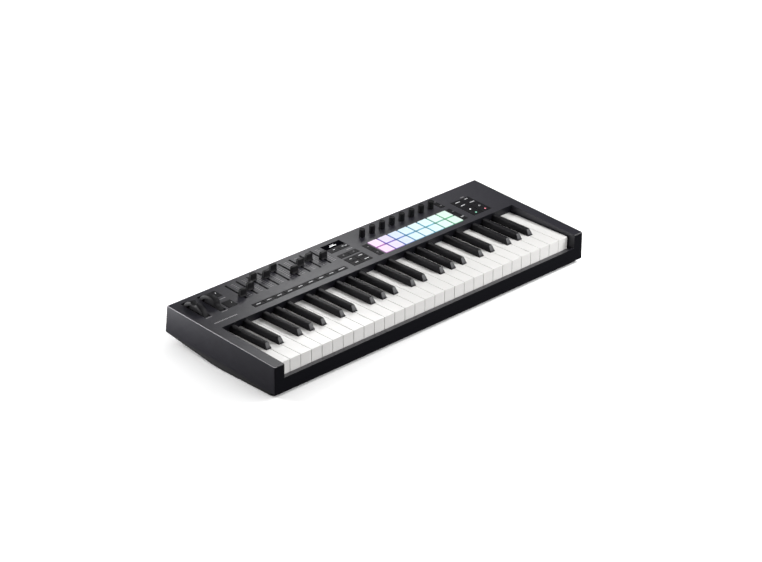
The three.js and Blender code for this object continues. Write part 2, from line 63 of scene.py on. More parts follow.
# ---- the case and its panel; the back wall leans out from the panel's back edge to its own lower edge
LENGTH = 264
FRONT = cad_box[0].y / MM
BACK = FRONT + LENGTH
HEEL = cad_box[1].y / MM
HALF_WIDTH = cad_box[1].x / MM
TOP_FRONT = 58.1
TOP_BACK = 71.5
TILT = math.atan((TOP_BACK - TOP_FRONT) / LENGTH)
PANEL = Matrix.Translation((0, BACK, TOP_BACK)) @ Matrix.Rotation(TILT, 4, "X")
WALL = 2.5
SKIRT = 50.05
SKIRT_BACK = TOP_BACK - SKIRT
FLAT_UNDERSIDE = 1.5
RISE_FROM = 12
RISE_SLOPE = 0.1425
SCREW_XS = (-255, -85, 85, 255)
SCREW_YS = (-99, 27, 105)

# ---- keys
KEY_TOP = 51.9
PITCH = 23.5
NATURALS = 29
OCTAVES = 4
SHARP = {"base": 11, "crest": 8.2, "height": 10.6, "lean": 5.8, "round": 1.6, "front": BACK - 201,
         "rear": BACK - 113.3}
SHARP_OFFSETS = {1: ("cs", -2), 2: ("ds", 2), 4: ("fs", -3), 5: ("gs", 0), 6: ("as", 3)}
SHARP_UNDER = KEY_TOP - 9.9
COMB = {"front": 47, "back": 54, "top": 49.9, "stem": 8, "stem_lift": 1.3}

# ---- controls, on the panel frame
COLUMN = 24
FADER_X = -245.5
FADER_SLOT = (11, 65)
FADER_BACKS = (54.6, 45.7, 25.8, 32.5, 22.6, 50.5, 38.3, 33.8, 44.8)
ENCODER_X = 53
ENCODER_BACK = 29.5
ENCODERS = 8
PAD_X = 55
PAD_BACKS = (62.8, 88.2)
PAD = (21.2, 22.2)
PAD_COLUMNS = 8
PAD_PROUD = 0.85
WHEEL_X = {"pitch_wheel": -336, "mod_wheel": -302}
WHEEL_BACK = 41
WHEEL_DROP = 15
MOD_REST = math.radians(43)
MAT_TOP = -2.8
MAT_WEB = 1.2
MAT_RIM = 0.8
BUTTON_GAP = 0.7
BUTTON_PROUD = 0.5
SCREEN = (-30.2, 14.2, 12, 28)
SCREEN_POCKET = 1.2
GLASS_TOP = -0.1

# tiles of buttons: (name, left x, right x, back, front, columns, rows), measured from the panel's back edge
TILES = {
    "row_buttons": [("row", -255.5, -43.5, 86.7, 98.3, 9, 1)],
    "screen_buttons": [
        ("screen", -30.2, 14.2, 28.6, 41.3, 2, 1),
        ("select", -30.2, 14.2, 53.2, 66, 2, 1),
        ("mode", -30.2, 14.2, 69.8, 98.8, 2, 2),
        ("scene", 28.6, 41.2, 53.2, 98.6, 1, 2),
    ],
    "transport_buttons": [
        ("page", 235.8, 246.8, 51, 98.4, 1, 2),
        ("bank", 235.8, 246.8, 9.6, 41.3, 1, 2),
        ("transport", 261.5, 306.3, 38, 98.5, 2, 4),
    ],
    "wheel_buttons": [
        ("octave_up", -290.5, -269.5, 11.3, 32.6, 1, 1),
        ("octave_down", -290.5, -269.5, 50.2, 71.6, 1, 1),
    ],
}

# the pads' lit colours, from the left column to the right one
PAD_COLOURS = (
    (0.97, 0.79, 0.98),
    (0.85, 0.78, 1.00),
    (0.76, 0.85, 1.00),
    (0.76, 0.92, 1.00),
    (0.80, 0.95, 1.00),
    (0.78, 0.96, 1.00),
    (0.79, 0.96, 0.92),
    (0.77, 0.96, 0.86),
)


# ---- materials -------------------------------------------------------------------------------------
def adder(tree):
    """A helper that adds a node to a tree, sets it up and wires or fills its inputs."""
    def add(kind, settings=(), **inputs):
        node = tree.nodes.new(kind)
        for key, value in dict(settings).items():
            setattr(node, key, value)
        for key, value in inputs.items():
            socket = node.inputs[key.replace("_", " ")]
            if isinstance(value, bpy.types.NodeSocket):
                tree.links.new(value, socket)
            else:
                socket.default_value = value
        return node

    return add


def shader(name):
    """A new material with its node tree, its Principled shader and a helper that adds and wires a node."""
    material = bpy.data.materials.new(name)
    material.use_nodes = True
    tree = material.node_tree
    return material, tree, tree.nodes["Principled BSDF"], adder(tree)


def grey(value):
    return (value, value, value, 1)


def opaque(colour, scale=1.0):
    return (*(min(1, c * scale) for c in colour), 1)


def ranged(add, value, low, high, start=0.0, end=1.0):
    """A value that goes from low to high as another goes from start to end."""
    node = add("ShaderNodeMapRange", Value=value)
    for key, number in (("From Min", start), ("From Max", end), ("To Min", low), ("To Max", high)):
        node.inputs[key].default_value = number
    return node.outputs["Result"]


def mixed(tree, add, share, first, second):
    """A colour between two, each a colour or another node's output."""
    node = add("ShaderNodeMix", {"data_type": "RGBA"})
    tree.links.new(share, node.inputs[0])
    for index, colour in ((6, first), (7, second)):
        if isinstance(colour, bpy.types.NodeSocket):
            tree.links.new(colour, node.inputs[index])
        else:
            node.inputs[index].default_value = colour
    return node.outputs[2]


def normal_part(add, axis):
    """One part of the surface's normal, in the world's axes."""
    normal = add("ShaderNodeNewGeometry").outputs["Normal"]
    return add("ShaderNodeSeparateXYZ", Vector=normal).outputs[axis]


def moulded(name, colour, rough, grain=0.45, depth=0.02, mottle=0.15, spread=0.08, coat=0.0, specular=0.5):
    """Moulded plastic or rubber: fine pebbled texture, faint colour mottling and uneven gloss."""
    material, tree, principled, add = shader(name)
    place = add("ShaderNodeTexCoord").outputs["Object"]
    fine = add("ShaderNodeTexNoise", Vector=place, Scale=1 / (grain * MM), Detail=3.0, Roughness=0.6)
    broad = add("ShaderNodeTexNoise", Vector=place, Scale=28.0, Detail=4.0, Roughness=0.55)
    middle = add("ShaderNodeTexNoise", Vector=place, Scale=210.0, Detail=2.0)
    tint = mixed(tree, add, broad.outputs["Fac"], opaque(colour, 1 - mottle), opaque(colour, 1 + mottle))
    tree.links.new(tint, principled.inputs["Base Color"])
    gloss = ranged(add, middle.outputs["Fac"], rough - spread, rough + spread)
    tree.links.new(gloss, principled.inputs["Roughness"])
    bump = add("ShaderNodeBump", Height=fine.outputs["Fac"], Strength=0.6, Distance=depth * MM)
    tree.links.new(bump.outputs["Normal"], principled.inputs["Normal"])
    principled.inputs["Specular IOR Level"].default_value = specular
    if coat:
        principled.inputs["Coat Weight"].default_value = coat
        principled.inputs["Coat Roughness"].default_value = 0.08
    return material


def painted_by_facing(material, start, end, painted_front_colour, shine, painted_front_shine, colour=None):
    """Gives a moulded material another colour and shine where it faces the player: painted shade on the
    shell, a painted highlight on the sharps.

    It changes over as the normal's Y goes from start to end. A colour replaces the mottled one elsewhere.
    """
    tree = material.node_tree
    principled = tree.nodes["Principled BSDF"]
    add = adder(tree)
    front = ranged(add, normal_part(add, "Y"), 0, 1, start, end)
    rest = colour or principled.inputs["Base Color"].links[0].from_socket
    tree.links.new(mixed(tree, add, front, rest, painted_front_colour), principled.inputs["Base Color"])
    tree.links.new(ranged(add, front, shine, painted_front_shine), principled.inputs["Specular IOR Level"])
    return material


def shell_plastic():
    """Charcoal satin plastic with painted shade on its front-facing band: a deeper black with less shine."""
    charcoal = moulded("charcoal_shell", (0.0195, 0.0189, 0.0252), 0.40, grain=0.4, depth=0.03)
    # painted shade: surfaces that face the player turn near black and lose most of their shine
    return painted_by_facing(charcoal, -0.3, -0.95, (0.004, 0.004, 0.006, 1), 0.5, 0.22)


def ebony():
    """The sharps' black plastic, with a painted highlight on the sloping front faces: lighter and shinier
    there.
    """
    dark = (0.010, 0.0098, 0.0115)
    black = moulded("black_key_plastic", dark, 0.42, grain=0.35, depth=0.02)
    # painted highlight: the sloping front faces are lighter and shinier than the flanks and crest
    return painted_by_facing(black, -0.55, -0.8, (0.032, 0.0315, 0.035, 1), 0.13, 0.42, opaque(dark))


def painted_shell_edge():
    """The edge round the shell's top face: a painted highlight, lighter with an uneven tone, along its two
    sides, and painted shade, near black, along its back.
    """
    material, tree, principled, add = shader("painted_shell_edge")
    split = add("ShaderNodeSeparateXYZ", Vector=add("ShaderNodeNewGeometry").outputs["Position"])
    side = add("ShaderNodeMath", {"operation": "ABSOLUTE"})
    tree.links.new(split.outputs["X"], side.inputs[0])
    outer = ranged(add, side.outputs[0], 0, 1, (HALF_WIDTH - 6) * MM, (HALF_WIDTH - 4) * MM)
    grain = add("ShaderNodeTexNoise", Scale=900.0, Detail=4.0)
    painted_highlight = add("ShaderNodeValToRGB", Fac=grain.outputs["Fac"])
    painted_highlight.color_ramp.elements[0].color = (0.26, 0.255, 0.27, 1)
    painted_highlight.color_ramp.elements[1].color = (0.38, 0.37, 0.39, 1)
    # painted highlight on the bevels of the two sides, painted shade on the rest of the edge
    tone = mixed(tree, add, outer, (0.008, 0.0078, 0.009, 1), painted_highlight.outputs["Color"])
    tree.links.new(tone, principled.inputs["Base Color"])
    principled.inputs["Roughness"].default_value = 0.3
    return material


def deepened(colour):
    """The colour of the same light where it leaves through a pad's flank."""
    return tuple(c ** 5 for c in colour)


def glowing(name, colour, lit=0.36, reflective=0.6):
    """Translucent silicone lit from below: pale on top, deeply coloured on its flanks."""
    material, tree, principled, add = shader(name)
    flank = ranged(add, normal_part(add, "Z"), 0, 1, 0.97, 0.35)
    place = add("ShaderNodeTexCoord").outputs["Object"]
    cloud = add("ShaderNodeTexNoise", Vector=place, Scale=90.0, Detail=2.0)
    even = ranged(add, cloud.outputs["Fac"], lit * 0.94, lit * 1.06)
    tree.links.new(even, principled.inputs["Emission Strength"])
    deep = deepened(colour)
    tint = mixed(tree, add, flank, opaque(colour), opaque(deep))
    tree.links.new(tint, principled.inputs["Emission Color"])
    body = mixed(tree, add, flank, opaque(colour, reflective), opaque(deep, 0.2))
    tree.links.new(body, principled.inputs["Base Color"])
    grain = add("ShaderNodeTexNoise", Vector=place, Scale=1500.0)
    bump = add("ShaderNodeBump", Height=grain.outputs["Fac"], Strength=0.4, Distance=0.02 * MM)
    tree.links.new(bump.outputs["Normal"], principled.inputs["Normal"])
    principled.inputs["Roughness"].default_value = 0.65
    principled.inputs["Specular IOR Level"].default_value = 0.2
    return material


def glowing_web():
    """The mat between the pads: dim light in the colours of the pads beside it, changing along the row."""
    material, tree, principled, add = shader("pad_web_silicone")
    split = add("ShaderNodeSeparateXYZ", Vector=add("ShaderNodeTexCoord").outputs["Generated"])
    ramp = add("ShaderNodeValToRGB", Fac=split.outputs["X"])
    stops = ramp.color_ramp.elements
    while len(stops) < len(PAD_COLOURS):
        stops.new(0.5)
    for k, colour in enumerate(PAD_COLOURS):
        stops[k].position = (k + 0.5) / len(PAD_COLOURS)
        stops[k].color = (*(0.4 * c ** 3.5 for c in colour), 1)
    tree.links.new(ramp.outputs["Color"], principled.inputs["Emission Color"])
    tree.links.new(ramp.outputs["Color"], principled.inputs["Base Color"])
    place = add("ShaderNodeTexCoord").outputs["Object"]
    cloud = add("ShaderNodeTexNoise", Vector=place, Scale=300.0, Detail=2.0)
    even = ranged(add, cloud.outputs["Fac"], 0.35, 0.5)
    tree.links.new(even, principled.inputs["Emission Strength"])
    principled.inputs["Roughness"].default_value = 0.7
    return material


def printed(name, colour, strength=0.0):
    """Printed or lit marking ink with a slightly uneven tone."""
    material, tree, principled, add = shader(name)
    noise = add("ShaderNodeTexNoise", Vector=add("ShaderNodeTexCoord").outputs["Object"], Scale=900.0)
    tint = mixed(tree, add, noise.outputs["Fac"], opaque(colour, 0.9), opaque(colour))
    tree.links.new(tint, principled.inputs["Base Color"])
    principled.inputs["Roughness"].default_value = 0.55
    if strength:
        tree.links.new(tint, principled.inputs["Emission Color"])
        principled.inputs["Emission Strength"].default_value = strength
    return material


def metal(name, colour, rough):
    """Plated metal with fine brushed streaks."""
    material, tree, principled, add = shader(name)
    place = add("ShaderNodeTexCoord").outputs["Object"]
    streaks = add("ShaderNodeTexNoise", Vector=place, Scale=1200.0, Detail=4.0)
    gloss = ranged(add, streaks.outputs["Fac"], rough * 0.7, rough * 1.4)
    tree.links.new(gloss, principled.inputs["Roughness"])
    principled.inputs["Base Color"].default_value = opaque(colour)
    principled.inputs["Metallic"].default_value = 1.0
    return material


SHELL = shell_plastic()
PAINTED_SHELL_EDGE = painted_shell_edge()
TRAY = moulded("black_tray", (0.008, 0.008, 0.009), 0.6, grain=0.6, depth=0.05)
CHASSIS = moulded("black_chassis", (0.018, 0.018, 0.02), 0.6)
IVORY = moulded("ivory_keys", (0.80, 0.79, 0.775), 0.30, grain=0.9, depth=0.0008, mottle=0.008, spread=0.02,
                coat=0.1)
EBONY = ebony()
CAP = moulded("fader_cap_plastic", (0.006, 0.006, 0.0068), 0.38, grain=0.3, specular=0.15)
RUBBER = moulded("soft_touch_rubber", (0.014, 0.0137, 0.015), 0.48, grain=0.35, depth=0.03, specular=0.08)
KNOB = moulded("knob_rubber", (0.004, 0.004, 0.0048), 0.5, grain=0.35, specular=0.17)
SILICONE = moulded("button_silicone", (0.009, 0.0088, 0.0104), 0.5, grain=0.3, specular=0.13)
PAD_WEB = glowing_web()
GLASS = moulded("display_glass", (0.002, 0.002, 0.003), 0.42, depth=0.001, mottle=0.3, spread=0.03,
                specular=0.0)
BOARD = moulded("circuit_board", (0.010, 0.055, 0.022), 0.45, grain=1.2, mottle=0.3)
FELT = moulded("red_felt", (0.22, 0.02, 0.02), 0.95, grain=0.7, depth=0.25, mottle=0.3)
FOOT = moulded("foot_rubber", (0.012, 0.012, 0.012), 0.85, grain=0.8, depth=0.06)
STEEL = metal("plated_steel", (0.55, 0.55, 0.57), 0.3)
SCREW = metal("black_screw", (0.05, 0.05, 0.055), 0.35)
# near-black strips over the fader slots' edges: painted shade
SLOT_PAINTED_SHADE = moulded("painted_slot_shade", (0.002, 0.002, 0.002), 0.8, specular=0.0)
WHITE_INK = printed("white_ink", (0.78, 0.78, 0.80))
GREY_INK = printed("grey_ink", (0.24, 0.235, 0.245))
LABEL_INK = printed("label_ink", (0.36, 0.35, 0.36))
LIT_WHITE = printed("lit_white", (0.9, 0.9, 0.92), 0.8)
LIT_GREEN = printed("lit_green", (0.35, 0.85, 0.62), 0.7)
LIT_RED = printed("lit_red", (0.95, 0.30, 0.36), 0.8)


# ---- meshes ----------------------------------------------------------------------------------------
def finish_piece(name, bm, body, look, place=None, stands_for=(), sharp=35):
    """Turns a millimetre bmesh into a piece that rides on a body, smooth but for its sharp edges."""
    if place is not None:
        bm.transform(place)
    bm.transform(Matrix.Scale(MM, 4))
    bmesh.ops.recalc_face_normals(bm, faces=bm.faces)
    mesh = bpy.data.meshes.new(name)
    bm.to_mesh(mesh)
    bm.free()
    mesh.materials.append(look)
    mesh.shade_smooth()
    mesh.set_sharp_from_angle(angle=math.radians(sharp))
    piece = bpy.data.objects.new(name, mesh)
    bpy.context.scene.collection.objects.link(piece)
    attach(piece, body)
    if stands_for:
        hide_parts(*stands_for)


def loft(bm, rings, wrap=False):
    """Skins rings of equally many points, and closes both ends, or joins the last ring to the first."""
    rows = [[bm.verts.new(point) for point in ring] for ring in rings]
    pairs = list(zip(rows, rows[1:]))
    if wrap:
        pairs.append((rows[-1], rows[0]))
    for low, high in pairs:
        for i in range(len(low)):
            j = (i + 1) % len(low)
            bm.faces.new((low[i], low[j], high[j], high[i]))
    if not wrap:
        bm.faces.new(list(reversed(rows[0])))
        bm.faces.new(rows[-1])


def round_rectangle(x0, x1, y0, y1, r, steps=4):
    """Points of a rectangle with round corners, anticlockwise."""
    r = max(r, 0.02)
    corners = [(x1 - r, y1 - r, 0), (x0 + r, y1 - r, 90), (x0 + r, y0 + r, 180), (x1 - r, y0 + r, 270)]
    points = []
    for x, y, start in corners:
        for k in range(steps + 1):
            turn = math.radians(start + 90 * k / steps)
            points.append((x + r * math.cos(turn), y + r * math.sin(turn)))
    return points


def soft_block(bm, xs, ys, zs, corner=1.0, edge=0.4, crown=0.0, steps=3):
    """A block with round corners in plan, a rounded top edge and a top that rises by crown to its middle."""
    (x0, x1), (y0, y1), (z0, z1) = xs, ys, zs

    def ring(inset, z):
        plan = round_rectangle(x0 + inset, x1 - inset, y0 + inset, y1 - inset, corner - inset)
        return [(x, y, z) for x, y in plan]

    rings = [ring(0, z0)]
    for k in range(steps + 1):
        turn = math.radians(90 * k / steps)
        rings.append(ring(edge * (1 - math.cos(turn)), z1 - edge + edge * math.sin(turn)))
    if crown:
        reach = min(x1 - x0, y1 - y0) / 2 - edge
        for share in (0.25, 0.55, 0.85):
            rings.append(ring(edge + reach * share, z1 + crown * (1 - (1 - share) ** 2)))
    loft(bm, rings)


def along_axis(axis, place):
    """The placing that stands a Z axis along another axis, through place."""
    quarter = math.pi / 2
    turns = {"z": Matrix(), "y": Matrix.Rotation(-quarter, 4, "X"), "x": Matrix.Rotation(quarter, 4, "Y")}
    return Matrix.Translation(place) @ turns[axis]


def disc(bm, profile, segments=32, axis="z", place=(0, 0, 0)):
    """A turned body: profile is (radius, height) from one end to the other."""
    turn = along_axis(axis, place)
    rings = []
    for r, h in profile:
        angles = [2 * math.pi * k / segments for k in range(segments)]
        rings.append([turn @ Vector((r * math.cos(t), r * math.sin(t), h)) for t in angles])
    loft(bm, rings)


def tube(bm, place, outer, inner, ends, axis="z", segments=24):
    """A ring or pipe round an axis through place, from one end to the other along it."""
    turn = along_axis(axis, place)
    low, high = ends
    levels = [(outer, low), (outer, high), (inner, high), (inner, low)]
    rings = []
    for k in range(segments):
        t = 2 * math.pi * k / segments
        rings.append([turn @ Vector((r * math.cos(t), r * math.sin(t), h)) for r, h in levels])
    loft(bm, rings, wrap=True)


def slab(bm, xs, ys, zs, edge=0.15):
    """A thin flat mark or plate with a small rounded rim."""
    soft_block(bm, xs, ys, zs, corner=edge * 2, edge=edge, steps=1)


# ---- case ------------------------------------------------------------------------------------------
def on_top_outline(v):
    """Whether a corner of the upper case, in millimetres, is on the outline of its top face."""
    outside = abs(v.x) > HALF_WIDTH - WALL / 2 or v.y > BACK - WALL / 2 or v.y < FRONT + WALL / 2
    return outside and v.z > TOP_FRONT - 6


def soften(node, look, width, segments=3, angle=30, painted_edge_look=None, chosen=None):
    """Rounds a CAD node's edges and gives it its material; chosen corners' edges get a look of their own,
    which paints light and shade on them.
    """
    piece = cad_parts[node]
    mesh = piece.data
    if "custom_normal" in mesh.attributes:
        mesh.attributes.remove(mesh.attributes["custom_normal"])
    mesh.materials.clear()
    mesh.materials.append(look)
    if chosen:
        mesh.shade_flat()
    else:
        mesh.shade_smooth()
    weld = piece.modifiers.new("weld", "WELD")
    weld.merge_threshold = 0.004 * MM
    flat = piece.modifiers.new("flat", "DECIMATE")
    flat.decimate_type = "DISSOLVE"
    flat.angle_limit = math.radians(0.6)
    flat.delimit = {"MATERIAL"}
    bevel = piece.modifiers.new("bevel", "BEVEL")
    bevel.width = width * MM
    bevel.segments = segments
    bevel.limit_method = "ANGLE"
    bevel.angle_limit = math.radians(angle)
    bevel.harden_normals = chosen is None
    bevel.use_clamp_overlap = chosen is None
    if chosen:
        group = piece.vertex_groups.new(name="rounded_edges")
        group.add([v.index for v in mesh.vertices if chosen(v.co / MM)], 1, "REPLACE")
        bevel.limit_method = "VGROUP"
        bevel.vertex_group = group.name
        mesh.materials.append(painted_edge_look)
        bevel.material = 1
    return piece


def dress_case():
    # the bevels round the top face carry the painted highlight and painted shade of the shell edge
    soften("upper_case", SHELL, 0.6, 1, painted_edge_look=PAINTED_SHELL_EDGE, chosen=on_top_outline)
    tray = soften("lower_case", TRAY, 0.5)
    tray.data.materials.append(FOOT)
    for face in tray.data.polygons:
        if face.center.z < (FLAT_UNDERSIDE - 0.1) * MM:
            face.material_index = 1
    soften("key_frame", CHASSIS, 0.3, 2)


# ---- keys ------------------------------------------------------------------------------------------
def dress_naturals():
    for n in range(NATURALS):
        soften(f"white_key_{n + 1:02d}", IVORY, 0.45)


def sharp_ring(x, y, crest):
    """One section of a sharp: upright flanks up to the naturals, then leaning in to a rounded crest."""
    base = SHARP["base"] / 2
    lean = (base - SHARP["crest"] / 2) / SHARP["height"]
    top = base - lean * (crest - KEY_TOP)
    r = SHARP["round"]
    half = [(base, SHARP_UNDER), (base, KEY_TOP)]
    for k in range(5):
        turn = math.radians(90 * k / 4)
        half.append((top - r + r * math.cos(turn), crest - r + r * math.sin(turn)))
    return [(x + dx, y, z) for dx, z in half] + [(x - dx, y, z) for dx, z in reversed(half)]


def sharp(x):
    """A sharp's body: its front facet leans back and rolls over into the crest."""
    bm = bmesh.new()
    crest = KEY_TOP + SHARP["height"]
    front = SHARP["front"]
    roll = 2.2
    low = KEY_TOP + SHARP["round"] * 1.2
    leaning = SHARP["lean"] * 0.86
    rolled = roll * 0.6
    rings = [sharp_ring(x, front, low)]
    steps = 4
    for k in range(1, steps):
        share = k / steps
        rings.append(sharp_ring(x, front + leaning * share, low + (crest - rolled - low) * share))
    for k in range(steps + 1):
        share = k / steps
        rings.append(sharp_ring(x, front + leaning + roll * share, crest - rolled * (1 - share) ** 2))
    rings.append(sharp_ring(x, SHARP["rear"], crest))
    loft(bm, rings)
    return bm


def dress_sharps():
    for octave in range(OCTAVES):
        body = f"black_keys_{octave + 1}"
        xs = []
        for step, (note, offset) in SHARP_OFFSETS.items():
            x = (octave * 7 + step - NATURALS / 2) * PITCH + offset
            xs.append(x)
            finish_piece(f"sharp_{note}_{octave + 1}", sharp(x), body, EBONY)
        bm = bmesh.new()
        half = SHARP["base"] / 2
        thin = COMB["stem"] / 2
        soft_block(bm, (xs[0] - half, xs[-1] + half), (COMB["front"], COMB["back"]),
                   (SHARP_UNDER, COMB["top"]))
        for x in xs:
            soft_block(bm, (x - thin, x + thin), (SHARP["rear"] - 1, COMB["front"] + 0.5),
                       (SHARP_UNDER + COMB["stem_lift"], COMB["top"]), corner=0.3)
        finish_piece(f"sharp_comb_{octave + 1}", bm, body, EBONY, stands_for=[body])


# ---- faders ----------------------------------------------------------------------------------------
def fader_cap(x, back):
    """A cap like a low saddle: a base flange, waisted grip faces and a top whose ends are well rounded."""
    bm = bmesh.new()
    half_width = 6.7
    top = 14
    flange_top = 4
    end_round = 2.0
    end_inset = 0.3
    steps = 5
    sections = [(4.4, 0.8), (4.4, 1.7), (3.8, 2.5), (3.2, 4.4), (3.05, 6.6), (3.05, 9.4), (3.2, 12)]
    profile = sections + [(3.05, 13.2), (2.7, 13.8), (2.0, top)]
    outline = profile + [(-y, z) for y, z in reversed(profile)]
    ends = []
    for k in range(steps + 1):
        turn = math.radians(90 * k / steps)
        ends.append((end_round * (1 - math.sin(turn)), end_round * (1 - math.cos(turn))))
    stations = [(-half_width + along, drop) for along, drop in reversed(ends)]
    stations += [(half_width - along, drop) for along, drop in ends]
    rings = []
    for along, drop in sorted(stations):
        ring = []
        inset = end_inset * min(1, drop)
        for y, z in outline:
            side = 1 if y > 0 else -1
            sunk = drop * max(0, (z - flange_top) / (top - flange_top))
            ring.append((x + along, -back + side * (abs(y) - inset), z - sunk))
        rings.append(ring)
    loft(bm, rings)
    return bm


def fader_grip(bm, x, back):
    """Five upright ribs across each grip face."""
    spacing = 1.9
    wide, deep = 0.42, 0.3
    for side in (-1, 1):
        y = -back + side * 2.95
        for k in range(-2, 3):
            middle = x + spacing * k
            soft_block(bm, (middle - wide, middle + wide), (y - deep, y + deep), (4.8, 11.6),
                       corner=0.25, edge=0.2)


def dress_faders():
    for i, back in enumerate(FADER_BACKS):
        x = FADER_X + COLUMN * i
        body = f"fader_{i + 1}"
        finish_piece(f"fader_cap_{i + 1}", fader_cap(x, back), body, CAP, PANEL, [body])
        bm = bmesh.new()
        fader_grip(bm, x, back)
        finish_piece(f"fader_grip_{i + 1}", bm, body, RUBBER, PANEL)
        bm = bmesh.new()
        soft_block(bm, (x - 0.6, x + 0.6), (-back - 2.5, -back + 2.5), (-9, 1.2), corner=0.3, edge=0.2)
        finish_piece(f"fader_stem_{i + 1}", bm, body, STEEL, PANEL)


# ---- encoders --------------------------------------------------------------------------------------
def encoder_knob(x):
    """A tall ribbed knob: smooth skirt, upright ribs, a chamfer and a shallow dished top."""
    bm = bmesh.new()
    ribs = 20
    outer, inner = 5.5, 5.05
    pattern = [(0.0, inner), (0.22, inner), (0.36, outer), (0.86, outer)]

    def ring(scale, z, ribbed):
        points = []
        for k in range(ribs):
            for share, r in pattern:
                turn = 2 * math.pi * (k + share) / ribs
                radius = scale * (outer + (r - outer) * ribbed)
                points.append((x + radius * math.cos(turn), -ENCODER_BACK + radius * math.sin(turn), z))
        return points

    skirt = [(0.93, 0.6, 0), (1, 0.9, 0), (1, 1.9, 0)]
    ribbed_side = [(0.99, 2.2, 1), (0.955, 13.6, 1), (0.93, 14.5, 0.6)]
    dish = [(0.87, 14.95, 0.1), (0.8, 15, 0), (0.72, 14.8, 0), (0.3, 14.65, 0)]
    loft(bm, [ring(*section) for section in skirt + ribbed_side + dish])
    return bm


def dress_encoders():
    for i in range(ENCODERS):
        x = ENCODER_X + COLUMN * i
        body = f"encoder_{i + 1}"
        finish_piece(f"encoder_knob_{i + 1}", encoder_knob(x), body, KNOB, PANEL, [body])
        bm = bmesh.new()
        disc(bm, [(2.8, -8), (3, -7.8), (3, 0.9)], 20, place=(x, -ENCODER_BACK, 0))
        finish_piece(f"encoder_shaft_{i + 1}", bm, body, STEEL, PANEL)


# ---- wheels ----------------------------------------------------------------------------------------
def wheel(notch_turn):
    """A wheel round X at its own centre, with a scooped finger notch that starts at the top and is turned."""
    bm = bmesh.new()
    radius, half = 29.5, 5.5
    notch_r, notch_depth = 8.5, 4.2
    centre = radius + notch_r - notch_depth
    stations = 144

    def rim(turn):
        offset = (turn + math.pi) % (2 * math.pi) - math.pi
        reach = centre * math.cos(offset)
        under = notch_r ** 2 - (centre * math.sin(offset)) ** 2
        if under <= 0 or abs(offset) > 1:
            return radius
        return min(radius, reach - math.sqrt(under))

    rings = []
    for k in range(stations):
        turn = 2 * math.pi * k / stations
        edge = rim(turn)
        section = [(-2.2, 3), (-2.2, 8), (-3.6, 9), (-3.6, 21.5), (-half, 23), (-half, edge - 1.1),
                   (-half + 0.35, edge - 0.35), (-half + 1.1, edge)]
        section += [(-dx, r) for dx, r in reversed(section)]
        angle = turn - notch_turn
        rings.append([(dx, -r * math.sin(angle), r * math.cos(angle)) for dx, r in section])
    loft(bm, rings, wrap=True)
    disc(bm, [(2.9, -10), (3, -9.8), (3, 9.8), (2.9, 10)], 24, "x")
    return bm


def dress_wheels():
    for body, x in WHEEL_X.items():
        turn = -MOD_REST if body == "mod_wheel" else 0
        place = PANEL @ Matrix.Translation((x, -WHEEL_BACK, -WHEEL_DROP))
        finish_piece(f"{body}_disc", wheel(turn), body, RUBBER, place, [body], sharp=50)


# ---- pads ------------------------------------------------------------------------------------------
def dress_pads():
    wide, deep = PAD
    looks = [glowing(f"pad_glow_{i + 1}", colour) for i, colour in enumerate(PAD_COLOURS)]
    for row, back in enumerate(PAD_BACKS):
        for i in range(PAD_COLUMNS):
            x = PAD_X + COLUMN * i
            bm = bmesh.new()
            soft_block(bm, (x - wide / 2, x + wide / 2), (-back - deep / 2, -back + deep / 2),
                       (MAT_TOP, PAD_PROUD), corner=1.3, edge=0.7, crown=0.15, steps=4)
            finish_piece(f"pad_{'ab'[row]}{i + 1}", bm, "pad_mat", looks[i], PANEL)
    border = 1.1
    last_x = PAD_X + COLUMN * (PAD_COLUMNS - 1)
    bm = bmesh.new()
    soft_block(bm, (PAD_X - wide / 2 - border, last_x + wide / 2 + border),
               (-PAD_BACKS[1] - deep / 2 - border, -PAD_BACKS[0] + deep / 2 + border),
               (MAT_TOP - MAT_WEB, MAT_TOP))
    finish_piece("pad_web", bm, "pad_mat", PAD_WEB, PANEL, ["pad_mat"])
    dress_light_stops()


def dress_light_stops():
    """Pairs of small black studs at the corners of the pads, which keep one pad's light out of the next."""
    bm = bmesh.new()
    stud = [(0.75, MAT_TOP - 0.1), (0.75, -0.5), (0.55, -0.3)]
    beyond = PAD[1] / 2 + 0.2
    for i in range(PAD_COLUMNS + 1):
        x = PAD_X + COLUMN * (i - 0.5)
        for back in (PAD_BACKS[0] - beyond, sum(PAD_BACKS) / 2, PAD_BACKS[1] + beyond):
            for side in (-0.95, 0.95):
                disc(bm, stud, 10, place=(x + side, -back, 0))
    finish_piece("pad_light_stops", bm, "pad_mat", SILICONE, PANEL)


# ---- buttons ---------------------------------------------------------------------------------------
def tile_cells(tile):
    """(x range, back-to-front range) of each button of a tile, left to right and back to front."""
    _, x0, x1, back, front, columns, rows = tile
    wide = (x1 - x0) / columns
    deep = (front - back) / rows
    for k in range(columns * rows):
        left = x0 + wide * (k % columns)
        rear = back + deep * (k // columns)
        yield (left, left + wide), (rear, rear + deep)


